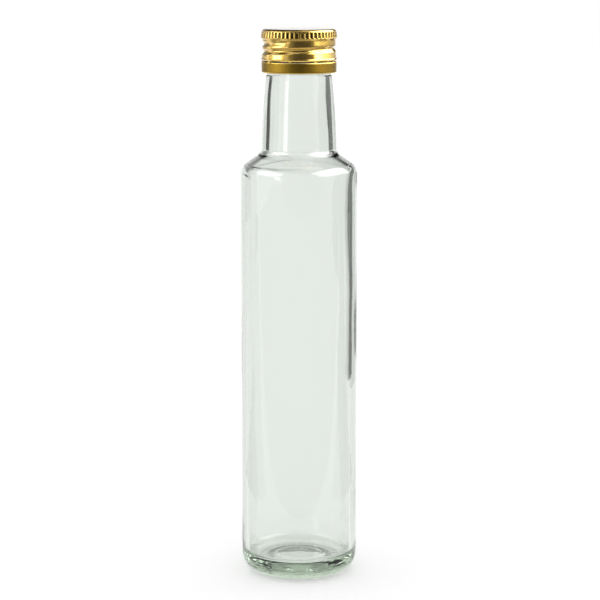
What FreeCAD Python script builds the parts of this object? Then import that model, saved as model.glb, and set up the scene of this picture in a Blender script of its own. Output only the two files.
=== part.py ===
import FreeCAD, Part
import math
import os

# Round glass oil bottle with a rolled-on aluminium screw cap.
# Millimetres, +Z up. The origin is the middle of the base, on the surface the bottle stands on.
# Seen from the front (looking along +Y) +X is on the right. Angles count from +X towards +Y.

# Glass body
body_radius = 24.5
body_wall = 2.7
heel_rounding = 8.0
contact_ring_width = 3.0
contact_ring_rounding = 1.2
push_up_radius = 10.0
push_up_height = 3.4
push_up_rounding = 2.0
centre_mark_radius = 4.3
centre_mark_depth = 0.2
floor_thickness = 4.8
floor_corner_rounding = 2.2

# Shoulder and neck
shoulder_corner_height = 174.3
shoulder_angle = 34.8
shoulder_wall = 2.5
shoulder_rounding = 5.0
shoulder_inner_rounding = 3.5
neck_base_radius = 15.75
neck_base_wall = 2.3
neck_base_fillet = 4.0
neck_base_inner_fillet = 5.0
neck_length = 32.2
neck_bend_radius = 15.37
neck_bend_rise = 13.8
neck_bend_rounding = 150.0
neck_top_wall = 2.1
neck_edge_step = 0.3
neck_edge_rounding = 0.15

# Mouth of the bottle, above the neck
finish_height = 16.3
finish_radius = 14.25
collar_step = 0.8
bead_rise = 0.95
bead_slope = 0.7
bead_rounding = 0.5
bead_above_band_foot = 1.3
bead_below_band_top = 0.6
bore_radius = 10.4
bore_taper_height = 4.0
bore_taper_rounding = 3.0
lip_outer_rounding = 1.0
lip_inner_rounding = 0.6

# Thread that the glass and the cap share, right-handed
thread_pitch = 3.175
thread_height = 0.8
thread_root_width = 1.8
thread_crest_width = 0.6
thread_flank_clearance = 0.3
thread_radial_clearance = 0.2
glass_thread_start = -390.0
glass_thread_end = 150.0
glass_thread_fade = 60.0
roll_start = -330.0
roll_end = 270.0
roll_fade = 75.0
roll_drop = 7.7
section_step = 15.0

# Cap pressed from sheet
sheet = 0.25
cap_corner_rounding = 1.4
knurl_rise = 0.35
knurl_drop = 3.7
knurl_taper = 0.9
flute_count = 52
flute_radius = 0.75
flute_depth = 0.35
first_flute_angle = -92.6
flute_top_drop = 1.7
flute_foot_drop = 3.2
skirt_height = 13.2
flare_start_drop = 9.8
flare_drop = 12.4
flare_rise = 0.5
skirt_edge_rise = 0.1

# Tamper band below the cap
slit = 0.4
bridge_gap = 0.05
bridge_count = 9
bridge_angle = 4.0
first_bridge_angle = -64.0
band_height = 4.5
band_rise = 0.15
band_foot_rounding = 0.5
band_hold = 0.8

# Sealing liner and pouring ring
liner_edge_clearance = 1.25
liner_thickness = 1.75
liner_rounding = 0.3
seal_gap = 0.05
ring_flange_thickness = 1.0
ring_flange_inset = 0.85
ring_flange_rounding = 0.3
ring_wall = 1.65
ring_length = 7.0
ring_clearance = 0.15
fin_squeeze = 0.1
fin_height = 0.8
fin_drops = (1.6, 4.2)
pouring_lip_rounding = 0.4

# Heights and radii that follow from the sizes above
shoulder_slope = math.tan(math.radians(shoulder_angle))
shoulder_drop = shoulder_wall / math.cos(math.radians(shoulder_angle))
body_inner_radius = body_radius - body_wall
floor_height = push_up_height + centre_mark_depth + floor_thickness
neck_base_height = shoulder_corner_height + (body_radius - neck_base_radius) * shoulder_slope
neck_top_height = neck_base_height + neck_length
lip_height = neck_top_height + finish_height
collar_radius = finish_radius - collar_step
neck_top_radius = collar_radius + neck_edge_step
bead_radius = finish_radius + bead_rise

liner_foot = lip_height + ring_flange_thickness + seal_gap
cap_top = liner_foot + liner_thickness + seal_gap + sheet
cap_inner_radius = finish_radius + thread_height + thread_radial_clearance
cap_radius = cap_inner_radius + sheet
liner_radius = cap_inner_radius - liner_edge_clearance
skirt_foot = cap_top - skirt_height
band_top = skirt_foot - slit
band_foot = band_top - band_height
band_radius = cap_radius + band_rise
bead_top = band_top - bead_below_band_top
bead_foot = band_foot + bead_above_band_foot

origin = FreeCAD.Vector(0, 0, 0)
upward = FreeCAD.Vector(0, 0, 1)
same_point = 1e-6


def rounded_outline(corners):
    """Closed wire in the XZ plane through corners of (radius, height, rounding)."""
    edges = []
    first = None
    previous = None
    for index, (radius, height, rounding) in enumerate(corners):
        corner = FreeCAD.Vector(radius, 0, height)
        if rounding == 0:
            start = corner
            end = corner
        else:
            before = FreeCAD.Vector(corners[index - 1][0], 0, corners[index - 1][1])
            after_index = (index + 1) % len(corners)
            after = FreeCAD.Vector(corners[after_index][0], 0, corners[after_index][1])
            back = (before - corner).normalize()
            ahead = (after - corner).normalize()
            half_angle = back.getAngle(ahead) / 2
            reach = rounding / math.tan(half_angle)
            start = corner + back * reach
            end = corner + ahead * reach
            inward = (back + ahead).normalize()
            middle = corner + inward * (rounding / math.sin(half_angle) - rounding)
        if previous is not None and previous.distanceToPoint(start) > same_point:
            edges.append(Part.LineSegment(previous, start).toShape())
        if rounding != 0:
            edges.append(Part.Arc(start, middle, end).toShape())
        if first is None:
            first = start
        previous = end
    if previous.distanceToPoint(first) > same_point:
        edges.append(Part.LineSegment(previous, first).toShape())
    return Part.Wire(edges)


def turned_solid(corners, angle=360.0):
    """Solid made by turning an outline about the bottle's axis."""
    return Part.Face(rounded_outline(corners)).revolve(origin, upward, angle)


def wound_rib(root_radius, tip_radius, hidden_radius, root_width, tip_width, span, fade, height):
    """Rib wound at the thread's pitch; at both ends its tip sinks back to the hidden radius."""
    start_angle, end_angle = span
    steps = math.ceil((end_angle - start_angle) / section_step)
    sections = []
    for index in range(steps + 1):
        angle = start_angle + (end_angle - start_angle) * index / steps
        growth = min(1.0, (angle - start_angle) / fade, (end_angle - angle) / fade)
        eased = growth * growth * (3 - 2 * growth)
        tip = hidden_radius + (tip_radius - hidden_radius) * eased
        middle = height + thread_pitch * angle / 360
        outline = (
            (root_radius, -root_width / 2),
            (tip, -tip_width / 2),
            (tip, tip_width / 2),
            (root_radius, root_width / 2),
        )
        turn = math.radians(angle)
        points = []
        for radius, rise in outline:
            points.append(FreeCAD.Vector(radius * math.cos(turn), radius * math.sin(turn), middle + rise))
        sections.append(Part.makePolygon(points + points[:1]))
    return Part.makeLoft(sections, True, False)


# Groove rolled into the cap, halfway between the turns of the glass thread
roll_height = cap_top - roll_drop
glass_thread_height = roll_height + thread_pitch / 2
flank = (thread_root_width - thread_crest_width) / 2
flank_slope = flank / thread_height
roll_tip_width = thread_pitch - thread_root_width - 2 * thread_flank_clearance
roll_root_width = roll_tip_width + 2 * flank
sheet_inset = 2 * sheet * (math.hypot(1, flank_slope) - flank_slope)


def glass_bottle():
    inner_corner_height = shoulder_corner_height + body_wall * shoulder_slope - shoulder_drop
    neck_inner_base_radius = neck_base_radius - neck_base_wall
    neck_inner_base_height = (
        shoulder_corner_height + (body_radius - neck_inner_base_radius) * shoulder_slope - shoulder_drop
    )
    contact_inner_radius = body_radius - heel_rounding - contact_ring_width
    blown = turned_solid((
        (0, push_up_height + centre_mark_depth, 0),
        (centre_mark_radius, push_up_height + centre_mark_depth, centre_mark_depth / 3),
        (centre_mark_radius, push_up_height, centre_mark_depth / 3),
        (push_up_radius, push_up_height, push_up_rounding),
        (contact_inner_radius, 0, contact_ring_rounding),
        (body_radius, 0, heel_rounding),
        (body_radius, shoulder_corner_height, shoulder_rounding),
        (neck_base_radius, neck_base_height, neck_base_fillet),
        (neck_bend_radius, neck_base_height + neck_bend_rise, neck_bend_rounding),
        (neck_top_radius, neck_top_height, neck_edge_rounding),
        (collar_radius, neck_top_height + neck_edge_step, neck_edge_rounding),
        (collar_radius, bead_foot - bead_slope, bead_rounding),
        (bead_radius, bead_foot, bead_rounding),
        (bead_radius, bead_top, bead_rounding),
        (finish_radius, bead_top + bead_slope, bead_rounding),
        (finish_radius, lip_height, lip_outer_rounding),
        (bore_radius, lip_height, lip_inner_rounding),
        (bore_radius, neck_top_height + bore_taper_height, bore_taper_rounding),
        (neck_top_radius - neck_top_wall, neck_top_height, bore_taper_rounding),
        (neck_inner_base_radius, neck_inner_base_height, neck_base_inner_fillet),
        (body_inner_radius, inner_corner_height, shoulder_inner_rounding),
        (body_inner_radius, floor_height, floor_corner_rounding),
        (0, floor_height, 0),
    ))
    thread = wound_rib(
        finish_radius - thread_height,
        finish_radius + thread_height,
        finish_radius - thread_height / 4,
        thread_root_width,
        thread_crest_width,
        (glass_thread_start, glass_thread_end),
        glass_thread_fade,
        glass_thread_height,
    )
    return blown.fuse(thread)


def flutes():
    middle_radius = cap_radius + knurl_rise + flute_radius - flute_depth
    length = flute_foot_drop - flute_top_drop
    foot = FreeCAD.Vector(middle_radius, 0, cap_top - flute_foot_drop)
    head = FreeCAD.Vector(middle_radius, 0, cap_top - flute_top_drop)
    rod = Part.makeCylinder(flute_radius, length, foot)
    cutter = rod.fuse([Part.makeSphere(flute_radius, foot), Part.makeSphere(flute_radius, head)])
    cutters = []
    for index in range(flute_count):
        copy = cutter.copy()
        copy.rotate(origin, upward, first_flute_angle + index * 360 / flute_count)
        cutters.append(copy)
    return cutters


def cap_shell():
    knurl_radius = cap_radius + knurl_rise
    flare_radius = cap_radius + flare_rise
    edge_radius = cap_radius + skirt_edge_rise
    pressed = turned_solid((
        (0, cap_top, 0),
        (knurl_radius, cap_top, cap_corner_rounding),
        (knurl_radius, cap_top - knurl_drop, 0),
        (cap_radius, cap_top - knurl_drop - knurl_taper, 0),
        (cap_radius, cap_top - flare_start_drop, 0),
        (flare_radius, cap_top - flare_drop, sheet),
        (edge_radius, skirt_foot, 0),
        (edge_radius - sheet, skirt_foot, 0),
        (flare_radius - sheet, cap_top - flare_drop, sheet),
        (cap_inner_radius, cap_top - flare_start_drop, 0),
        (cap_inner_radius, cap_top - sheet, cap_corner_rounding - sheet),
        (0, cap_top - sheet, 0),
    ))
    ridge = wound_rib(
        cap_radius - sheet / 2,
        cap_inner_radius - thread_height,
        cap_inner_radius + sheet / 4,
        roll_root_width,
        roll_tip_width,
        (roll_start, roll_end),
        roll_fade,
        roll_height,
    )
    groove = wound_rib(
        cap_radius + thread_height,
        cap_radius - thread_height,
        cap_radius + thread_height / 2,
        roll_root_width - sheet_inset + 2 * flank,
        roll_tip_width - sheet_inset,
        (roll_start, roll_end),
        roll_fade,
        roll_height,
    )
    return pressed.fuse(ridge).cut([groove] + flutes())


def tamper_band():
    inner_radius = band_radius - sheet
    hook_radius = bead_radius - band_hold
    ring = turned_solid((
        (band_radius, band_top, 0),
        (inner_radius, band_top, 0),
        (inner_radius, band_foot + sheet, band_foot_rounding - sheet),
        (hook_radius, band_foot + sheet, 0),
        (hook_radius, band_foot, 0),
        (band_radius, band_foot, band_foot_rounding),
    ))
    bridges = []
    for index in range(bridge_count):
        bridge = turned_solid((
            (inner_radius, band_top - sheet, 0),
            (band_radius, band_top - sheet, 0),
            (band_radius, skirt_foot - bridge_gap, 0),
            (inner_radius, skirt_foot - bridge_gap, 0),
        ), bridge_angle)
        bridge.rotate(origin, upward, first_bridge_angle - bridge_angle / 2 + index * 360 / bridge_count)
        bridges.append(bridge)
    return ring.fuse(bridges).removeSplitter()


def sealing_liner():
    return turned_solid((
        (0, liner_foot, 0),
        (liner_radius, liner_foot, liner_rounding),
        (liner_radius, liner_foot + liner_thickness, liner_rounding),
        (0, liner_foot + liner_thickness, 0),
    ))


def pouring_ring():
    sleeve_radius = bore_radius - ring_clearance
    fin_radius = bore_radius + fin_squeeze
    pouring_radius = sleeve_radius - ring_wall
    flange_radius = finish_radius - ring_flange_inset
    flange_top = lip_height + ring_flange_thickness
    corners = [
        (pouring_radius, flange_top, pouring_lip_rounding),
        (flange_radius, flange_top, ring_flange_rounding),
        (flange_radius, lip_height, 0),
        (sleeve_radius, lip_height, 0),
    ]
    for drop in fin_drops:
        corners.append((sleeve_radius, lip_height - drop, 0))
        corners.append((fin_radius, lip_height - drop, 0))
        corners.append((sleeve_radius, lip_height - drop - fin_height, 0))
    corners.append((sleeve_radius, lip_height - ring_length, pouring_lip_rounding))
    corners.append((pouring_radius, lip_height - ring_length, pouring_lip_rounding))
    return turned_solid(corners)


os.makedirs("parts", exist_ok=True)
for make in (glass_bottle, pouring_ring, sealing_liner, cap_shell, tamper_band):
    solid = make()
    solid.exportStep("parts/" + make.__name__ + ".step")
    print(make.__name__, len(solid.Solids), "solid", solid.isValid(), round(solid.Volume, 1), "mm3")
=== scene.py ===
# %% [markdown]
# A slim glass oil bottle with a gold screw cap.
# The construction model gives the real sizes, the joints and the bodies that move.
# This lesson dresses it: smooth blown glass, pressed and lacquered sheet metal, a plain white studio.
# The scene is in metres, in the frame of the construction model, with +Z up and the viewer on -Y.
# The bottle's own sizes are written in millimetres, as a maker would.

# %% Load the frame
import math

import bmesh
import bpy
from mathutils import Matrix, Vector, noise


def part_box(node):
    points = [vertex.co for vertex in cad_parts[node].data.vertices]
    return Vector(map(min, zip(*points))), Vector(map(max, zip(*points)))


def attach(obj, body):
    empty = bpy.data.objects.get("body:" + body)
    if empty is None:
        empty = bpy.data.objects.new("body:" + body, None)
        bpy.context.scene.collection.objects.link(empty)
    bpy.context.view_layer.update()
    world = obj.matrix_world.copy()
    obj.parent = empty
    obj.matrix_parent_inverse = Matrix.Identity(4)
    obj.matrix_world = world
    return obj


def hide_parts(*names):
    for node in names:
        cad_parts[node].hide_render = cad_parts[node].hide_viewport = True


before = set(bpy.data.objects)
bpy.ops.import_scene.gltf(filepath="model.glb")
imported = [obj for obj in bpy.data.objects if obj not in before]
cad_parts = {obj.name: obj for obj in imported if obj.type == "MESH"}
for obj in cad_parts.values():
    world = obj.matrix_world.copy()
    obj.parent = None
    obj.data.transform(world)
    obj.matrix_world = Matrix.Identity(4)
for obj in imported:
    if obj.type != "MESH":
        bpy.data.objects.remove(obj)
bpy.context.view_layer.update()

# %% [markdown]
# Nearly every piece of a bottle is round, so each one starts as half an outline.
# A corner is a radius, a height and a rounding in millimetres, as on a workshop drawing,
# and bevelling the corner's vertex draws the round.
# Long edges are divided where the piece will be pressed later, because only points can be moved.

# %% Draw a half outline
mm = 0.001


def draw_outline(bm, corners, closed=False, round_steps=6):
    """Edges through corners that each give a radius, a height and a rounding in millimetres."""
    verts = [bm.verts.new((radius * mm, 0, height * mm)) for radius, height, _ in corners]
    ends = verts[1:] + verts[:1] if closed else verts[1:]
    for start, end in zip(verts, ends):
        bm.edges.new((start, end))
    for vert, (_, _, rounding) in zip(verts, corners):
        if rounding:
            ways = [(edge.other_vert(vert).co - vert.co).normalized() for edge in vert.link_edges]
            reach = rounding * mm / math.tan(ways[0].angle(ways[1]) / 2)
            bmesh.ops.bevel(bm, geom=[vert], offset=reach, offset_type="OFFSET", affect="VERTICES",
                            segments=round_steps, profile=0.5, material=-1)


def divide_edges(bm, longest, low=-math.inf, high=math.inf):
    """Cut the edges between two heights into steps no longer than the longest, in millimetres."""
    for edge in bm.edges[:]:
        middle = (edge.verts[0].co.z + edge.verts[1].co.z) / 2
        cuts = int(edge.calc_length() / (longest * mm))
        if cuts and low * mm < middle < high * mm:
            bmesh.ops.subdivide_edges(bm, edges=[edge], cuts=cuts)


# %% [markdown]
# Turning the outline could be left to the Screw modifier, but the spin operator leaves a plain mesh
# whose points can then be pressed and rolled like the real sheet.
# The spin makes one eighth of a turn, which is then doubled three times and merged,
# because a long spin slows down as the mesh grows.

# %% Turn an outline
merge_distance = 1e-6


def turn_outline(bm, steps):
    """Turn all edges about the vertical axis, with this many steps in the whole turn."""
    bmesh.ops.spin(bm, geom=bm.verts[:] + bm.edges[:], cent=(0, 0, 0), axis=(0, 0, 1), dvec=(0, 0, 0),
                   angle=math.tau / 8, steps=steps // 8, use_merge=False, use_duplicate=False)
    for done in (1 / 8, 1 / 4, 1 / 2):
        copied = bmesh.ops.duplicate(bm, geom=bm.verts[:] + bm.edges[:] + bm.faces[:])["geom"]
        copied_verts = [item for item in copied if isinstance(item, bmesh.types.BMVert)]
        bmesh.ops.rotate(bm, verts=copied_verts, cent=(0, 0, 0),
                         matrix=Matrix.Rotation(math.tau * done, 3, "Z"))
    bmesh.ops.remove_doubles(bm, verts=bm.verts[:], dist=merge_distance)
    bmesh.ops.recalc_face_normals(bm, faces=bm.faces[:])


# %% [markdown]
# A finished mesh becomes an object that rides on one moving body and stands in for one construction node,
# which is hidden. It is shaded smooth, and only edges that bend by more than
# a set angle stay crisp. Counting the open edges shows at once whether a shell has a hole.

# %% Finish a piece
def finish_piece(bm, name, body, node, sharp_angle=40):
    mesh = bpy.data.meshes.new(name)
    open_edges = sum(not edge.is_manifold for edge in bm.edges)
    bm.to_mesh(mesh)
    bm.free()
    mesh.shade_smooth()
    mesh.set_sharp_from_angle(angle=math.radians(sharp_angle))
    piece = bpy.data.objects.new(name, mesh)
    bpy.context.scene.collection.objects.link(piece)
    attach(piece, body)
    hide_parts(node)
    mesh.calc_loop_triangles()
    triangles = len(mesh.loop_triangles)
    print(name, "rides on", body, "with", triangles, "triangles and", open_edges, "open edges")
    return piece


# %% [markdown]
# The screw thread is shared by the glass and the cap: a bead on the glass and a groove rolled
# into the metal, half a pitch apart. Both follow one formula, the height of the thread at an angle.
# A rolled thread has no hard start, so it fades in and out over part of a turn.
# Modelling the thread as a separate sweep would need a cut or a join; moving points keeps one clean skin.

# %% The thread's formula
thread_pitch = 3.175
cap_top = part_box("cap_shell")[1].z / mm
roll_drop = 7.7
roll_height = cap_top - roll_drop


def ease(share):
    """Smooth step from 0 to 1."""
    share = min(1.0, max(0.0, share))
    return share * share * (3 - 2 * share)


def thread_share(angle, height, middle_height, span, fade, width_up, width_down):
    """How much of the full thread depth stands at this angle and height, from 0 to 1."""
    most = 0.0
    turns_down = math.floor((span[0] - angle) / 360)
    turns_up = math.ceil((span[1] - angle) / 360)
    for turn in range(turns_down, turns_up + 1):
        wound = angle + 360 * turn
        if span[0] < wound < span[1]:
            offset = height - middle_height - thread_pitch * wound / 360
            width = width_up if offset > 0 else width_down
            if abs(offset) < width:
                shape = (1 + math.cos(math.pi * offset / width)) / 2
                most = max(most, shape * ease(min(wound - span[0], span[1] - wound) / fade))
    return most


def polar(vert):
    """Angle in degrees from the right-hand side, radius and height in millimetres."""
    angle = math.degrees(math.atan2(vert.co.y, vert.co.x))
    return angle, math.hypot(vert.co.x, vert.co.y) / mm, vert.co.z / mm


def move_radially(vert, amount):
    """Move a point away from the axis by an amount in millimetres, or towards it if negative."""
    scale = 1 + amount * mm / math.hypot(vert.co.x, vert.co.y)
    vert.co.x *= scale
    vert.co.y *= scale


print("thread of", thread_pitch, "mm a turn, at", round(roll_height, 2), "mm on the right-hand side")

# %% [markdown]
# The bottle itself is one blown piece of glass. Outside it took the smooth shape of the mould,
# inside it was shaped only by air. Its sizes are written down first, then the heights that follow from them:
# the slope of the shoulder decides where the neck starts, and the neck carries the mouth.

# %% Glass sizes
body_radius = 24.5
body_wall = 2.7
heel_rounding = 8.0
standing_radius = 13.5
push_up_radius = 10.0
push_up_height = 3.4
centre_mark_radius = 4.3
centre_mark_rise = 0.2
inner_floor = 8.4
shoulder_corner = 174.3
shoulder_angle = math.radians(34.8)
shoulder_wall = 2.5
neck_base_radius = 15.75
neck_middle_radius = 15.37
neck_bend = 13.8
neck_height = 32.2
neck_bore_base = 12.8
neck_bore_top = 11.2
collar_radius = 13.45
bead_radius = 15.2
finish_radius = 14.25
finish_height = 16.3
bore_radius = 10.4
band_drop = 13.6
band_height = 4.5

# %% Glass heights
shoulder_slope = math.tan(shoulder_angle)
shoulder_drop = shoulder_wall / math.cos(shoulder_angle)
neck_base = shoulder_corner + (body_radius - neck_base_radius) * shoulder_slope
neck_middle = neck_base + neck_bend
neck_top = neck_base + neck_height
lip_height = neck_top + finish_height
band_top = cap_top - band_drop
band_foot = band_top - band_height
inner_shoulder = shoulder_corner + body_wall * shoulder_slope - shoulder_drop
inner_neck_base = shoulder_corner + (body_radius - neck_bore_base) * shoulder_slope - shoulder_drop
print("neck from", round(neck_base, 2), "to", round(neck_top, 2), "mm, lip at", round(lip_height, 2), "mm")

# %% [markdown]
# The outside and the inside are one outline, turned once, so the glass has a real thickness
# for light to pass through. A Solidify modifier would give every wall the same thickness,
# and the thick base of a bottle is what makes it look like glass.
# The outline runs from the middle of the base outwards, up, over the lip and down inside.

# %% Turn the glass
glass_steps = 200

glass_mesh = bmesh.new()
draw_outline(glass_mesh, (
    (0, push_up_height + centre_mark_rise, 0),
    (centre_mark_radius, push_up_height + centre_mark_rise, 0.08),
    (centre_mark_radius, push_up_height, 0.08),
    (push_up_radius, push_up_height, 2.0),
    (standing_radius, 0, 1.2),
    (body_radius, 0, heel_rounding),
    (body_radius, shoulder_corner, 5.0),
    (neck_base_radius, neck_base, 4.0),
    (neck_middle_radius, neck_middle, 150.0),
    (collar_radius + 0.3, neck_top, 0.15),
    (collar_radius, neck_top + 0.3, 0.15),
    (collar_radius, band_foot + 0.6, 0.5),
    (bead_radius, band_foot + 1.3, 0.5),
    (bead_radius, band_top - 0.6, 0.5),
    (finish_radius, band_top + 0.1, 0.5),
    (finish_radius, lip_height, 1.0),
    (bore_radius, lip_height, 0.6),
    (bore_radius, neck_top + 6.0, 2.0),
    (neck_bore_top, neck_top + 2.6, 2.0),
    (neck_bore_base, inner_neck_base, 5.0),
    (body_radius - body_wall, inner_shoulder, 3.5),
    (body_radius - body_wall, inner_floor, 2.2),
    (0, inner_floor, 0),
), round_steps=8)
divide_edges(glass_mesh, 0.3, band_top, lip_height)
divide_edges(glass_mesh, 0.4, -1, 0.1)
divide_edges(glass_mesh, 3.0)
turn_outline(glass_mesh, glass_steps)
print("glass rings", len(glass_mesh.verts) // glass_steps)

# %% [markdown]
# Glass shaped by air never gets an even wall, and that is what bends the dark lines along its edges.
# So the inner wall drifts in and out by a few tenths of a millimetre: it leans to one side,
# has slow and quick lumps from a noise function, and swells at the upper right.
# A noise bump in the material would only tilt the light at the surface; here the wall really changes.

# %% Drift of the inner wall
side_drift = 0.2
slow_drift = 0.22
quick_drift = 0.1
swell_drift = 0.5
slow_lump = 55
quick_lump = 17
swell_foot = 118


def wall_drift(angle, height):
    """Inward drift of the inner wall in millimetres."""
    way = Vector((math.cos(math.radians(angle)), math.sin(math.radians(angle)), 0))
    slow = noise.noise(way * 0.9 + Vector((0, 0, height / slow_lump)))
    quick = noise.noise(way * 1.6 + Vector((7, 0, height / quick_lump)))
    swell_height = ease((height - swell_foot) / 30) * ease((shoulder_corner + 2 - height) / 12)
    swell = max(0.0, way.x) ** 2 * swell_height
    return side_drift * way.x + slow_drift * slow + quick_drift * quick + swell_drift * swell


# %% [markdown]
# After turning, the points are moved: the bead of the thread rises on the mouth, the inner wall drifts,
# and the standing ring gets the fine stipple that moulds press into it,
# so that the bottle never stands on one smooth face.

# %% Raise the thread and unsettle the inner wall
glass_thread_span = (-390.0, 150.0)
glass_thread_rise = 0.8
glass_thread_width = 0.9
glass_thread_fade = 60
drift_foot = 10.8
stipple_rise = 0.2

for vert in glass_mesh.verts:
    angle, radius, height = polar(vert)
    if height > band_top and radius > finish_radius - 0.1:
        rise = thread_share(angle, height, roll_height + thread_pitch / 2, glass_thread_span,
                            glass_thread_fade, glass_thread_width, glass_thread_width)
        move_radially(vert, glass_thread_rise * rise)
    inner_limit = body_radius - body_wall / 2 if height < neck_base else neck_bore_base + 0.3
    if radius < inner_limit and drift_foot < height < neck_top:
        fade = ease((height - drift_foot) / 12) * ease((neck_top - height) / 10)
        move_radially(vert, -fade * wall_drift(angle, height))
    if height < 0.001 and radius > 13:
        vert.co.z += stipple_rise * mm * (0.5 + 0.5 * noise.noise(vert.co * 900))

glass_bottle = finish_piece(glass_mesh, "blown_glass", "bottle", "glass_bottle",
                            sharp_angle=80)

# %% [markdown]
# The cap is drawn from one thin disc of lacquered aluminium. The turned shell keeps both faces of the sheet:
# the outer line is drawn once, and the inner one is the same line moved in by the thickness.
# At its foot the skirt flares, and below the flare a short set-back lip is the cut edge
# of the slit that parts the cap from the tamper band.

# %% Turn the cap
sheet = 0.25
cap_radius = 15.5
knurl_radius = 15.85
knurl_lean = 0.36
flare_radius = 16.0
flare_height = cap_top - 12.5
skirt_foot = cap_top - 13.05
cut_radius = 15.34
cut_foot = skirt_foot - 0.49
flute_count = 52
steps_per_flute = 8

outer_line = (
    (knurl_radius, cap_top - 3.6, 0.8),
    (cap_radius - 0.12, cap_top - 4.5, 0.6),
    (cap_radius, cap_top - 6.4, 4.0),
    (cap_radius + 0.05, cap_top - 9.9, 3.0),
    (cap_radius + 0.3, cap_top - 12.1, 0.5),
)
inner_line = [(radius - sheet, height, rounding) for radius, height, rounding in reversed(outer_line)]

cap_mesh = bmesh.new()
draw_outline(cap_mesh, (
    (0, cap_top, 0),
    (knurl_radius - knurl_lean, cap_top, 1.4),
    *outer_line,
    (flare_radius, flare_height, 0.25),
    (cap_radius + 0.1, skirt_foot, 0.06),
    (cut_radius, skirt_foot, 0.04),
    (cut_radius, cut_foot, 0.04),
    (cut_radius - sheet, cut_foot, 0.04),
    (cut_radius - sheet, skirt_foot + 0.3, 0.1),
    (flare_radius - sheet, flare_height, 0.2),
    *inner_line,
    (knurl_radius - sheet - knurl_lean, cap_top - sheet, 1.15),
    (0, cap_top - sheet, 0),
))
divide_edges(cap_mesh, 0.25, skirt_foot - 1, cap_top - 0.3)
divide_edges(cap_mesh, 2.5)
turn_outline(cap_mesh, flute_count * steps_per_flute)
print("cap rings", len(cap_mesh.verts) // (flute_count * steps_per_flute))

# %% [markdown]
# The rim is knurled for the fingers, and after filling the skirt is rolled into the thread of the glass.
# Both are done here as on the machine: the points of the turned shell are pressed inwards.
# Every press moves both faces together, so the sheet stays equally thick.
# A displacement texture could do the same, but the formula keeps the groove in step with the glass bead.

# %% Press the knurl and roll the thread
flute_phase = -92.6
flute_depth = 0.28
flute_half_width = 0.36
flute_start = 0.9
flute_end = 3.75
roll_span = (-330.0, 270.0)
roll_depth = 0.8
roll_fade = 75
roll_width_up = 1.25
roll_width_down = 1.75


def flute_share(angle, height):
    """Depth of the knurl's flutes, from 0 on the lands to 1 in the middle of a flute."""
    place = (angle - flute_phase) * flute_count / 360
    across = abs(place - round(place)) / flute_half_width
    drop = cap_top - height
    along = ease((drop - flute_start) / 0.5) * ease((flute_end - drop) / 0.35)
    return along * max(0.0, 1 - across * across)


for vert in cap_mesh.verts:
    angle, radius, height = polar(vert)
    if radius > cap_radius - 1:
        pressed = flute_depth * flute_share(angle, height)
        rolled = roll_depth * thread_share(angle, height, roll_height, roll_span,
                                           roll_fade, roll_width_up, roll_width_down)
        move_radially(vert, -max(pressed, rolled))

cap_shell = finish_piece(cap_mesh, "pressed_cap", "cap", "cap_shell", sharp_angle=60)

# %% [markdown]
# Below the slit, the tamper band hangs from the cap on thin bridges that tear when the bottle is opened.
# The band is turned like the cap, and its foot curls in under the glass bead, which holds it on the neck.

# %% Turn the tamper band
band_radius = 15.65
band_lip = 0.35
band_steps = 360
curl_radius = bead_radius - 0.8

band_mesh = bmesh.new()
draw_outline(band_mesh, (
    (band_radius - 0.1, band_top, 0.08),
    (band_radius, band_top - band_lip, 0.2),
    (band_radius, band_foot, 0.5),
    (curl_radius, band_foot, 0.05),
    (curl_radius, band_foot + sheet, 0.05),
    (band_radius - sheet, band_foot + sheet, 0.25),
    (band_radius - sheet, band_top, 0.05),
), closed=True, round_steps=4)
divide_edges(band_mesh, 0.6)
turn_outline(band_mesh, band_steps)
print("band rings", len(band_mesh.verts) // band_steps)

# %% [markdown]
# The bridges are stubs that the slit left standing. They could be small blocks set on the band,
# but they are the same sheet, so the faces of the band's top edge are chosen by their angle
# and pulled up with an extrude.

# %% Pull up the bridges
bridge_count = 9
bridge_angle = 4.0
bridge_height = 0.49
first_bridge = -64.0


def under_bridge(face):
    """Whether a face lies on the top edge of the band, where a bridge stands."""
    middle = face.calc_center_median()
    face_angle = math.degrees(math.atan2(middle.y, middle.x))
    turned = (face_angle - first_bridge + bridge_angle / 2) % (360 / bridge_count)
    on_top = face.normal.z > 0.95 and middle.z > (band_top - 0.05) * mm
    return on_top and turned < bridge_angle


tops = [face for face in band_mesh.faces if under_bridge(face)]
raised = bmesh.ops.extrude_face_region(band_mesh, geom=tops)["geom"]
bmesh.ops.delete(band_mesh, geom=tops, context="FACES")
raised_verts = [item for item in raised if isinstance(item, bmesh.types.BMVert)]
bmesh.ops.translate(band_mesh, verts=raised_verts, vec=(0, 0, bridge_height * mm))
print(bridge_count, "bridges from", len(tops), "faces")
tamper_band = finish_piece(band_mesh, "satin_tamper_band", "band", "tamper_band",
                           sharp_angle=50)

# %% [markdown]
# A milky pouring ring is pressed into the mouth, so that oil leaves it in a thin stream without dripping.
# It is moulded in one piece: a flange that lies on the lip and a plug with a small bead that grips the bore.
# It is turned from one closed outline and shows once the cap is off.

# %% Pouring ring
pour_bore = 8.6
plug_radius = 10.25
plug_depth = 7.0
flange_radius = 13.4
flange_top = lip_height + 1.0

ring_mesh = bmesh.new()
draw_outline(ring_mesh, (
    (pour_bore, flange_top, 0.4),
    (flange_radius, flange_top, 0.3),
    (flange_radius, lip_height, 0.1),
    (plug_radius, lip_height, 0),
    (plug_radius, lip_height - 1.6, 0),
    (bore_radius, lip_height - 1.6, 0),
    (plug_radius, lip_height - 2.4, 0),
    (plug_radius, lip_height - plug_depth, 0.4),
    (pour_bore, lip_height - plug_depth, 0.4),
), closed=True, round_steps=5)
turn_outline(ring_mesh, 160)
pouring_ring = finish_piece(ring_mesh, "milky_pouring_ring", "bottle", "pouring_ring")

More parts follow.
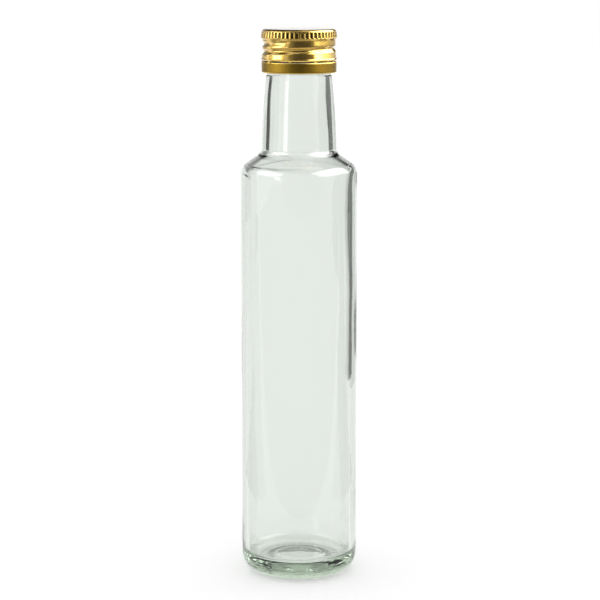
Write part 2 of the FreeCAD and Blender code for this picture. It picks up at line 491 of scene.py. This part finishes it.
# %% [markdown]
# A white liner disc in the cap's top seals the mouth. It is punched from soft foam, and the rim it closes
# leaves a shallow ring in its underside. The ring is drawn straight into the outline.

# %% Liner disc
liner_radius = 14.0
mouth_mark = 0.12
liner_low, liner_high = [corner.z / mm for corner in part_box("sealing_liner")]

disc_mesh = bmesh.new()
draw_outline(disc_mesh, (
    (0, liner_low, 0),
    (9.0, liner_low, 0.3),
    (9.6, liner_low + mouth_mark, 0.3),
    (13.0, liner_low + mouth_mark, 0.3),
    (13.5, liner_low, 0.2),
    (liner_radius, liner_low, 0.3),
    (liner_radius, liner_high, 0.3),
    (0, liner_high, 0),
), round_steps=4)
turn_outline(disc_mesh, 128)
sealing_liner = finish_piece(disc_mesh, "liner_disc", "liner", "sealing_liner")

# %% [markdown]
# Now the finishes. They are built from a few kinds of node again and again,
# so small helpers add one node each. A helper takes either a plain number, which is set on the socket,
# or another node's output, which is linked.

# %% Node helpers
def feed(tree, value, socket):
    """Link another node's output to a socket, or set a plain value on it."""
    if isinstance(value, bpy.types.NodeSocket):
        tree.links.new(value, socket)
    else:
        socket.default_value = value


def noise_node(tree, vector, scale, detail, roughness=0.5):
    node = tree.nodes.new("ShaderNodeTexNoise")
    for label, value in (("Vector", vector), ("Scale", scale), ("Detail", detail), ("Roughness", roughness)):
        feed(tree, value, node.inputs[label])
    return node.outputs["Fac"]


def map_range(tree, value, low, high, to_low, to_high):
    node = tree.nodes.new("ShaderNodeMapRange")
    for label, amount in (("From Min", low), ("From Max", high), ("To Min", to_low), ("To Max", to_high)):
        node.inputs[label].default_value = amount
    tree.links.new(value, node.inputs["Value"])
    return node.outputs["Result"]


def math_node(tree, operation, first, second):
    node = tree.nodes.new("ShaderNodeMath")
    node.operation = operation
    feed(tree, first, node.inputs[0])
    feed(tree, second, node.inputs[1])
    return node.outputs["Value"]


# %% [markdown]
# No real surface is perfect: glass and lacquer have a soft ripple, and hands leave duller patches.
# Both effects are used on more than one piece, so each is a node group with named sockets.
# The ripple is a broad noise with a quarter as much of a finer one,
# and the marks are the peaks of a third noise.

# %% Shared effects
def new_group(name, scale, output):
    """Node group with a vector and a scale going in and one value coming out."""
    group = bpy.data.node_groups.new(name, "ShaderNodeTree")
    group.interface.new_socket("Vector", in_out="INPUT", socket_type="NodeSocketVector")
    group.interface.new_socket("Scale", in_out="INPUT", socket_type="NodeSocketFloat").default_value = scale
    group.interface.new_socket(output, in_out="OUTPUT", socket_type="NodeSocketFloat")
    going_in = group.nodes.new("NodeGroupInput").outputs
    return group, going_in["Vector"], going_in["Scale"], group.nodes.new("NodeGroupOutput").inputs[output]


def surface_ripple():
    group, vector, scale, result = new_group("surface_ripple", 400.0, "Height")
    broad = noise_node(group, vector, scale, detail=1.0)
    fine = noise_node(group, vector, math_node(group, "MULTIPLY", scale, 4.0), detail=2.0)
    group.links.new(math_node(group, "ADD", broad, math_node(group, "MULTIPLY", fine, 0.25)), result)
    return group


def handling_marks():
    group, vector, scale, result = new_group("handling_marks", 120.0, "Mask")
    patches = noise_node(group, vector, scale, detail=5.0, roughness=0.6)
    group.links.new(map_range(group, patches, 0.42, 0.68, 0.0, 1.0), result)
    return group


ripple_group = surface_ripple()
marks_group = handling_marks()
print("node groups", [group.name for group in bpy.data.node_groups])

# %% [markdown]
# Each finish starts from one Principled shader and reads Object coordinates,
# which stay with the piece when it moves. From these come a height and a radius,
# so a finish can tell the heel of the bottle from its neck.
# Bumps can be stacked: one made on top of another takes the lower one's normal.

# %% Material helpers
def new_material(name):
    material = bpy.data.materials.new(name)
    material.use_nodes = True
    return material, material.node_tree, material.node_tree.nodes["Principled BSDF"]


def object_coordinates(tree):
    return tree.nodes.new("ShaderNodeTexCoord").outputs["Object"]


def axes_of(tree, coordinates):
    node = tree.nodes.new("ShaderNodeSeparateXYZ")
    tree.links.new(coordinates, node.inputs["Vector"])
    return node.outputs["X"], node.outputs["Y"], node.outputs["Z"]


def radius_of(tree, coordinates):
    flat = tree.nodes.new("ShaderNodeVectorMath")
    flat.operation = "MULTIPLY"
    flat.inputs[1].default_value = (1, 1, 0)
    tree.links.new(coordinates, flat.inputs[0])
    length = tree.nodes.new("ShaderNodeVectorMath")
    length.operation = "LENGTH"
    tree.links.new(flat.outputs["Vector"], length.inputs[0])
    return length.outputs["Value"]


def use_group(tree, group, vector, scale):
    node = tree.nodes.new("ShaderNodeGroup")
    node.node_tree = group
    tree.links.new(vector, node.inputs["Vector"])
    node.inputs["Scale"].default_value = scale
    return node.outputs[0]


def add_bump(tree, shader, height, strength, distance, under=None):
    bump = tree.nodes.new("ShaderNodeBump")
    bump.inputs["Strength"].default_value = strength
    bump.inputs["Distance"].default_value = distance
    tree.links.new(height, bump.inputs["Height"])
    if under:
        tree.links.new(under, bump.inputs["Normal"])
    tree.links.new(bump.outputs["Normal"], shader.inputs["Normal"])
    return bump.outputs["Normal"]


def blend_colours(tree, share, first, second):
    node = tree.nodes.new("ShaderNodeMix")
    node.data_type = "RGBA"
    for label, colour in (("A", first), ("B", second)):
        feed(tree, (*colour, 1) if isinstance(colour, tuple) else colour, node.inputs[label])
    tree.links.new(share, node.inputs["Factor"])
    return node.outputs["Result"]


def dress(piece, material):
    piece.data.materials.clear()
    piece.data.materials.append(material)


# %% [markdown]
# Clear bottle glass still holds a little iron, so thick stretches turn green. A flat tint would colour
# a thin wall as much as the thick base; absorption inside the volume colours by the length of glass
# that light crosses. The underside is frosted where the bottle stands, and the heel above it
# carries a fine stipple, which breaks up what the solid base would otherwise mirror as hard black wedges.

# %% Glass finish
frost_height = 3.0 * mm
frost_radius = 17.25 * mm
frost_roughness = 0.5


def clear_glass():
    material, tree, shader = new_material("clear_bottle_glass")
    coordinates = object_coordinates(tree)
    _, _, height = axes_of(tree, coordinates)
    radius = radius_of(tree, coordinates)
    shader.inputs["Base Color"].default_value = (0.897, 0.909, 0.896, 1)
    shader.inputs["Transmission Weight"].default_value = 1.0
    shader.inputs["IOR"].default_value = 1.52
    low = map_range(tree, height, frost_height - 0.2 * mm, frost_height + 0.2 * mm, frost_roughness, 0.0)
    within = map_range(tree, radius, frost_radius - 0.25 * mm, frost_radius + 0.25 * mm, 1.0, 0.0)
    marks = use_group(tree, marks_group, coordinates, scale=60.0)
    handled = map_range(tree, marks, 0, 1, 0.0, 0.012)
    dulled = math_node(tree, "MAXIMUM", math_node(tree, "MULTIPLY", low, within), handled)
    tree.links.new(dulled, shader.inputs["Roughness"])
    heel = math_node(tree, "MULTIPLY", map_range(tree, height, 5.0 * mm, 6.5 * mm, 1.0, 0.0),
                     map_range(tree, radius, 16.0 * mm, 17.5 * mm, 0.0, 1.0))
    stipple = math_node(tree, "MULTIPLY", heel, noise_node(tree, coordinates, scale=1100.0, detail=1.0))
    waves = use_group(tree, ripple_group, coordinates, scale=70.0)
    ripple = add_bump(tree, shader, waves, strength=0.05, distance=0.6 * mm)
    add_bump(tree, shader, stipple, strength=0.4, distance=0.5 * mm, under=ripple)
    absorption = tree.nodes.new("ShaderNodeVolumeAbsorption")
    absorption.inputs["Color"].default_value = (0.30, 0.62, 0.24, 1)
    absorption.inputs["Density"].default_value = 14.0
    tree.links.new(absorption.outputs["Volume"], tree.nodes["Material Output"].inputs["Volume"])
    return material


dress(glass_bottle, clear_glass())
print("glass finish", glass_bottle.active_material.name)

# %% [markdown]
# The gold is a yellow lacquer over bare aluminium: the metal gives the coloured reflection,
# and the lacquer is a clear coat that adds a paler one. On the cap it is glossy.
# The floors of the flutes get painted shade, a darker colour standing in for the shade in these recesses,
# and lose most of their coat, so that they read as slots from afar. The lip below the skirt gets a darker
# painted shade still and no coat, standing in for the shade inside the slit, so that the slit shows as a
# dark line.
# The flutes are found by the same angle and count that pressed them.

# %% Glossy gold
# painted shade: the flute floors are coloured darker in place of the shade that falls into them
painted_flute_shade = (0.14, 0.09, 0.016)
# painted shade: the lip in the slit is coloured near black in place of the shade inside the cut
painted_slit_shade = (0.05, 0.032, 0.006)
flute_coat = 0.1


def gold_lacquer(name, bright, deep, roughness, ripple_scale, ripple_strength):
    """Lacquered metal with handling marks; the colour comes back for the caller to finish and link."""
    material, tree, shader = new_material(name)
    coordinates = object_coordinates(tree)
    marks = use_group(tree, marks_group, coordinates, scale=240.0)
    shader.inputs["Metallic"].default_value = 1.0
    tree.links.new(map_range(tree, marks, 0, 1, roughness, roughness + 0.08), shader.inputs["Roughness"])
    waves = use_group(tree, ripple_group, coordinates, ripple_scale)
    add_bump(tree, shader, waves, ripple_strength, distance=0.1 * mm)
    return material, tree, shader, coordinates, blend_colours(tree, marks, bright, deep)


def flute_mask(tree, coordinates):
    """1 on the floors of the knurl's flutes, 0 elsewhere."""
    across_x, across_y, height = axes_of(tree, coordinates)
    angle = math_node(tree, "ARCTAN2", across_y, across_x)
    turned = math_node(tree, "SUBTRACT", angle, math.radians(flute_phase))
    place = math_node(tree, "MULTIPLY", turned, flute_count / math.tau)
    across = map_range(tree, math_node(tree, "PINGPONG", place, 0.5), 0.28, 0.37, 1, 0)
    floor_top = cap_top - 1.3
    floor_end = cap_top - 3.55
    blur = 0.15
    below = map_range(tree, height, (floor_top - blur) * mm, (floor_top + blur) * mm, 1, 0)
    above = map_range(tree, height, (floor_end - blur) * mm, (floor_end + blur) * mm, 0, 1)
    return math_node(tree, "MULTIPLY", across, math_node(tree, "MULTIPLY", below, above))


def glossy_gold():
    roughness = 0.17
    material, tree, shader, coordinates, lacquer = gold_lacquer(
        "glossy_gold_lacquer", (0.80, 0.515, 0.085), (0.72, 0.45, 0.07), roughness,
        ripple_scale=900.0, ripple_strength=0.1)
    shader.inputs["Coat Roughness"].default_value = roughness / 2
    shader.inputs["Coat IOR"].default_value = 1.7
    _, _, height = axes_of(tree, coordinates)
    above_cut = map_range(tree, height, (skirt_foot - 0.06) * mm, (skirt_foot - 0.01) * mm, 0, 1)
    in_flute = flute_mask(tree, coordinates)
    coated = math_node(tree, "MULTIPLY", map_range(tree, in_flute, 0, 1, 1.0, flute_coat), above_cut)
    tree.links.new(coated, shader.inputs["Coat Weight"])
    # the flute floors take the painted shade, and below the skirt the lip takes the painted shade of the
    # slit
    flute_shaded_colour = blend_colours(tree, in_flute, lacquer, painted_flute_shade)
    tree.links.new(blend_colours(tree, above_cut, painted_slit_shade, flute_shaded_colour), shader.inputs["Base Color"])
    return material


dress(cap_shell, glossy_gold())
print("cap finish", cap_shell.active_material.name)

# %% [markdown]
# The band has the same lacquer under a darker satin print, which stops short of its lip and its foot.
# There the bright lacquer is left as painted highlights: two thin bright lines where the lip and the curled
# foot would catch the light. The satin has no clear coat and a rougher face, so its highlights are broad and
# soft.

# %% Satin gold
# painted highlight: the band's lip and foot are coloured brighter in place of the light that their edges
# catch
lip_and_foot_highlight = (0.88, 0.62, 0.16)


def satin_gold():
    material, tree, shader, coordinates, print_colour = gold_lacquer(
        "satin_gold_lacquer", (0.31, 0.19, 0.023), (0.275, 0.169, 0.02), roughness=0.34,
        ripple_scale=2400.0, ripple_strength=0.2)
    _, _, height = axes_of(tree, coordinates)
    lip_foot = band_top - band_lip
    below_lip = map_range(tree, height, lip_foot * mm, (lip_foot + 0.1) * mm, 1, 0)
    above_foot = map_range(tree, height, (band_foot + 0.35) * mm, (band_foot + 0.5) * mm, 0, 1)
    # the darker satin lies between the two painted highlights at the lip and the foot
    between_highlights = math_node(tree, "MULTIPLY", below_lip, above_foot)
    tree.links.new(blend_colours(tree, between_highlights, lip_and_foot_highlight, print_colour), shader.inputs["Base Color"])
    return material


dress(tamper_band, satin_gold())
print("band finish", tamper_band.active_material.name)

# %% [markdown]
# The pouring ring is natural polyethylene and the liner a white foam. Light enters both a little way
# before it comes back, which a touch of subsurface scattering gives; plain white would look like chalk.

# %% Plastic finishes
def soft_plastic(name, colour, shade, roughness, ripple_scale):
    material, tree, shader = new_material(name)
    coordinates = object_coordinates(tree)
    marks = use_group(tree, marks_group, coordinates, scale=300.0)
    tree.links.new(blend_colours(tree, marks, colour, shade), shader.inputs["Base Color"])
    tree.links.new(map_range(tree, marks, 0, 1, roughness, roughness + 0.15), shader.inputs["Roughness"])
    shader.inputs["Subsurface Weight"].default_value = 0.25
    shader.inputs["Subsurface Radius"].default_value = (0.002, 0.002, 0.0018)
    waves = use_group(tree, ripple_group, coordinates, ripple_scale)
    add_bump(tree, shader, waves, strength=0.15, distance=0.1 * mm)
    return material


dress(pouring_ring, soft_plastic("milky_polyethylene", (0.86, 0.86, 0.83), (0.8, 0.8, 0.77),
                                 roughness=0.32, ripple_scale=500.0))
dress(sealing_liner, soft_plastic("white_liner_foam", (0.9, 0.9, 0.88), (0.84, 0.84, 0.82),
                                  roughness=0.55, ripple_scale=1800.0))
print("plastic finishes", pouring_ring.active_material.name, sealing_liner.active_material.name)

# %% [markdown]
# The studio starts with a white sheet. It is a pale grey paper that catches the bottle's soft shadow,
# and a little light of its own lifts it to white for the camera, in reflections and through the glass.
# More lamps would whiten it too, but they would also burn out the object.

# %% White sheet
sheet_reach = 4.0
sheet_drop = 0.00005
sheet_lift = 0.26


def stage_mesh(name, bm, material):
    """Object of the studio, which isn't part of the bottle."""
    mesh = bpy.data.meshes.new(name)
    bm.to_mesh(mesh)
    bm.free()
    item = bpy.data.objects.new(name, mesh)
    bpy.context.scene.collection.objects.link(item)
    dress(item, material)
    return item


def stage_plane(name, corners, material):
    bm = bmesh.new()
    bm.faces.new([bm.verts.new(corner) for corner in corners])
    return stage_mesh(name, bm, material)


def sheet_finish():
    material, tree, shader = new_material("white_sheet")
    shader.inputs["Base Color"].default_value = (0.8, 0.8, 0.8, 1)
    shader.inputs["Roughness"].default_value = 0.9
    shader.inputs["Specular IOR Level"].default_value = 0.0
    shader.inputs["Emission Color"].default_value = (1, 1, 1, 1)
    path = tree.nodes.new("ShaderNodeLightPath")
    seen = math_node(tree, "MAXIMUM", path.outputs["Is Camera Ray"], path.outputs["Is Glossy Ray"])
    seen = math_node(tree, "MAXIMUM", seen, path.outputs["Is Transmission Ray"])
    tree.links.new(math_node(tree, "MULTIPLY", seen, sheet_lift), shader.inputs["Emission Strength"])
    return material


stage_plane("white_sheet", [(x * sheet_reach, y * sheet_reach, -sheet_drop)
                            for x, y in ((-1, -1), (1, -1), (1, 1), (-1, 1))], sheet_finish())
print("white sheet of", 2 * sheet_reach, "m")

# %% [markdown]
# Glass and polished metal have no shade of their own, they only show what stands around them.
# So cards make the surroundings, each with an even brightness. They are kept out of the camera's sight
# and don't light or shade the sheet. A card can also be kept out of the glass, so that the metal
# and the glass each get their own surroundings.
# An edges-only card vanishes for light that has crossed more than two faces of glass.
# The view straight through the bottle crosses four, so such a card darkens only the outer edges.

# %% Card helpers
card_rise = 0.0004


def card_finish(name, brightness, edges_only=False):
    material, tree, shader = new_material(name)
    shader.inputs["Base Color"].default_value = (0, 0, 0, 1)
    shader.inputs["Specular IOR Level"].default_value = 0.0
    shader.inputs["Emission Color"].default_value = (1, 1, 1, 1)
    shader.inputs["Emission Strength"].default_value = brightness
    if edges_only:
        path = tree.nodes.new("ShaderNodeLightPath")
        at_edge = math_node(tree, "LESS_THAN", path.outputs["Transmission Depth"], 2.5)
        tree.links.new(at_edge, shader.inputs["Alpha"])
    return material


def hide_card(card, in_glass=True):
    card.visible_camera = False
    card.visible_diffuse = False
    card.visible_shadow = False
    card.visible_transmission = in_glass


def around(angle, distance, height):
    """Place about the bottle; the angle is in degrees from the camera's side, positive to the right."""
    turn = math.radians(angle)
    return Vector((math.sin(turn) * distance, -math.cos(turn) * distance, height))


def standing_card(name, distance, angles, heights, material, in_glass=True):
    first, last = angles
    low, high = heights
    corners = ((first, low), (last, low), (last, high), (first, high))
    card = stage_plane(name, [around(angle, distance, height) for angle, height in corners], material)
    hide_card(card, in_glass)


def lying_card(name, sides, depths, height, material):
    left, right = sides
    front, back = depths
    corners = ((left, front), (right, front), (right, back), (left, back))
    card = stage_plane(name, [(x, y, height) for x, y in corners], material)
    hide_card(card, in_glass=False)


def fan_card(name, angles, offset, far, material):
    """Lying card that widens away from the bottle, from a point under the bottle's edge."""
    near = 0.02
    apex = Vector((offset, 0, 0))
    corners = ((angles[0], near), (angles[1], near), (angles[1], far), (angles[0], far))
    places = [apex + around(angle, reach, card_rise) for angle, reach in corners]
    hide_card(stage_plane(name, places, material))


# %% [markdown]
# The first cards are for the metal alone. A dark one behind the camera darkens the middle of the cap,
# with dim ones beside it to soften the change. Greys at both sides tone the rest of the skirt,
# a grey table keeps its lower half from turning white, and dark ceiling pieces are what the top reflects.

# %% Cards for the metal
dark_card = card_finish("dark_card", 0.06)
shade_card = card_finish("shade_card", 0.08)
dim_card = card_finish("dim_card", 0.16)
table_card = card_finish("grey_table", 0.38)
grey_card = card_finish("grey_card", 0.48)
mid_card = card_finish("mid_card", 0.6)
ceiling_height = 1.8

metal_cards = (
    ("card_front", 1.4, (-16, 38), (0.0, 3.0), shade_card),
    ("card_front_left", 1.4, (-33, -16), (0.0, 3.0), dim_card),
    ("card_front_right", 1.4, (38, 50), (0.0, 3.0), dim_card),
    ("card_high_left", 1.8, (200, 240), (1.1, 3.0), dark_card),
    ("card_left", 1.3, (-33, -70), (0.29, 1.6), mid_card),
    ("card_far_left", 1.3, (-70, -110), (0.29, 1.6), mid_card),
    ("card_back_left", 1.3, (-110, -150), (0.0, 0.27), grey_card),
    ("card_right", 1.3, (50, 85), (0.0, 0.3), grey_card),
    ("card_far_right", 1.3, (85, 120), (0.0, 0.3), grey_card),
    ("card_back_right", 1.3, (120, 150), (0.0, 0.27), grey_card),
)
for name, distance, angles, heights, material in metal_cards:
    standing_card(name, distance, angles, heights, material, in_glass=False)

lying_cards = (
    ("table_front", (-1.3, 1.3), (-1.4, -0.13), card_rise, table_card),
    ("table_left", (-1.3, -0.15), (-0.07, 0.12), card_rise, table_card),
    ("table_right", (0.15, 1.3), (-0.07, 0.12), card_rise, table_card),
    ("ceiling_left", (-1.5, 0.1), (-0.5, 1.8), ceiling_height, dark_card),
    ("ceiling_right", (0.1, 1.5), (0.4, 1.8), ceiling_height, dark_card),
)
for name, sides, depths, height, material in lying_cards:
    lying_card(name, sides, depths, height, material)
print(len(metal_cards), "standing and", len(lying_cards), "lying cards for the metal")

# %% [markdown]
# The next cards show in the glass too. Edges-only cards behind at both sides draw the dark lines
# along its edges. High cards at the back are what the solid base picks up by total reflection.
# Pale fans on the sheet, each ending in a pale standing card, grey the outer parts of the body a little,
# where the bent view through the glass runs sideways.
# A round pool right under the base stands for the light that a real base gathers there,
# which the renderer would need very long to find by itself.

# %% Cards for the glass
dim_edge = card_finish("dim_edge", 0.16, edges_only=True)
black_edge = card_finish("black_edge", 0.02, edges_only=True)
soft_card = card_finish("soft_card", 0.3)
toned_card = card_finish("toned_card", 0.9)
pale_card = card_finish("pale_card", 0.97)
fan_reach = 0.95
pool_radius = 0.022

glass_cards = (
    ("card_behind_right", 0.42, (118, 145), (0.0, 0.14), dim_edge),
    ("card_behind_right_neck", 0.42, (118, 152), (0.14, 0.19), dim_edge),
    ("card_behind_left", 0.42, (-118, -143), (0.14, 0.19), black_edge),
    ("card_above_left", 1.8, (200, 240), (0.36, 1.1), soft_card),
    ("card_above_middle_low", 1.8, (160, 200), (0.36, 0.62), mid_card),
    ("card_above_middle_mid", 1.8, (160, 200), (0.62, 0.95), soft_card),
    ("card_above_middle", 1.8, (160, 200), (0.95, 3.0), dark_card),
    ("card_above_right", 1.8, (120, 160), (0.36, 3.0), dark_card),
)
for name, distance, angles, heights, material in glass_cards:
    standing_card(name, distance, angles, heights, material)

fans = (
    ("left", (198, 226), -0.018, 0.2, toned_card),
    ("inner_left", (190, 198), -0.018, 0.2, pale_card),
    ("right", (134, 155), 0.018, 0.15, toned_card),
    ("inner_right", (155, 170), 0.018, 0.15, pale_card),
)
for name, angles, offset, top, material in fans:
    fan_card("fan_" + name, angles, offset, fan_reach, material)
    standing_card("edge_card_" + name, fan_reach, angles, (0.0, top), material)

pool_mesh = bmesh.new()
bmesh.ops.create_circle(pool_mesh, cap_ends=True, segments=64, radius=pool_radius,
                        matrix=Matrix.Translation((0, 0, -sheet_drop / 2)))
hide_card(stage_mesh("light_pool", pool_mesh, card_finish("light_pool", 0.97)))
print(len(glass_cards), "cards,", len(fans), "fans and a pool for the glass")

# %% [markdown]
# Two large soft lights stand above the cards at both sides and give the highlights.
# A highlight that suits the curved gold is too large on the glass, so light linking gives the metal
# and the glass a pair each, and a small strip adds a short glint on the left of the glass.
# The size and brightness of a light are what the eye sees in the reflection,
# so the power is worked out from them.

# %% Soft lights
def shown_on(name, pieces):
    collection = bpy.data.collections.new(name)
    for piece in pieces:
        collection.objects.link(piece)
    return collection


def soft_light(name, receivers, angle, elevation, distance, size, radiance):
    width, height = size
    light = bpy.data.lights.new(name, "AREA")
    light.shape = "RECTANGLE"
    light.size = width
    light.size_y = height
    light.energy = radiance * math.pi * width * height
    lamp = bpy.data.objects.new(name, light)
    target = Vector((0, 0, cap_top * mm))
    rise = math.radians(elevation)
    lamp.location = target + around(angle, distance * math.cos(rise), distance * math.sin(rise))
    lamp.rotation_euler = (target - lamp.location).to_track_quat("-Z", "Y").to_euler()
    lamp.visible_camera = False
    lamp.visible_diffuse = False
    lamp.light_linking.receiver_collection = receivers
    bpy.context.scene.collection.objects.link(lamp)
    print(name, "at", angle, "degrees, raised by", elevation, "degrees")


lit_metal = shown_on("lit_metal", (cap_shell, tamper_band, pouring_ring, sealing_liner))
lit_glass = shown_on("lit_glass", (glass_bottle,))
lights = (
    ("metal_light_left", lit_metal, -73, 11.5, 1.2, (1.9, 0.40), 4.2),
    ("metal_light_right", lit_metal, 90, 33.5, 1.2, (2.5, 1.2), 4.3),
    ("glass_light_left", lit_glass, -72, 31, 1.2, (1.3, 0.73), 3.0),
    ("glass_light_right", lit_glass, 85, 36, 1.2, (1.8, 0.97), 4.0),
    ("glass_strip_left", lit_glass, -43, -1, 0.7, (0.14, 0.16), 3.0),
)
for name, receivers, angle, elevation, distance, size, radiance in lights:
    soft_light(name, receivers, angle, elevation, distance, size, radiance)

# %% [markdown]
# An even white world lights the sheet and is the white that the glass shows between the cards.
# At a strength of 1 it is exactly white in the picture.

# %% Even world
world = bpy.data.worlds.new("even_white")
world.use_nodes = True
world.node_tree.nodes["Background"].inputs["Color"].default_value = (1, 1, 1, 1)
world.node_tree.nodes["Background"].inputs["Strength"].default_value = 1.0
bpy.context.scene.world = world
print("world", world.name)

# %% [markdown]
# The camera stands a little above the cap and looks slightly down, from about a metre away.
# Its place and lens come from the outline of the photograph: how much the base circle opens,
# how the straight body narrows downwards, and where the axis stands in the picture.

# %% Camera
picture_pixels = 600
focal_pixels = 2162.2
camera_place = (0.0004, -0.9064, 0.2655)
camera_tilt = 9.272

camera = bpy.data.cameras.new("camera")
camera.sensor_width = 36.0
camera.lens = focal_pixels * camera.sensor_width / picture_pixels
camera_object = bpy.data.objects.new("camera", camera)
camera_object.location = camera_place
camera_object.rotation_euler = (math.radians(90 - camera_tilt), 0, 0)
bpy.context.scene.collection.objects.link(camera_object)
bpy.context.scene.camera = camera_object
bpy.context.scene.view_settings.view_transform = "Standard"
print("camera with a lens of", round(camera.lens, 1), "mm")
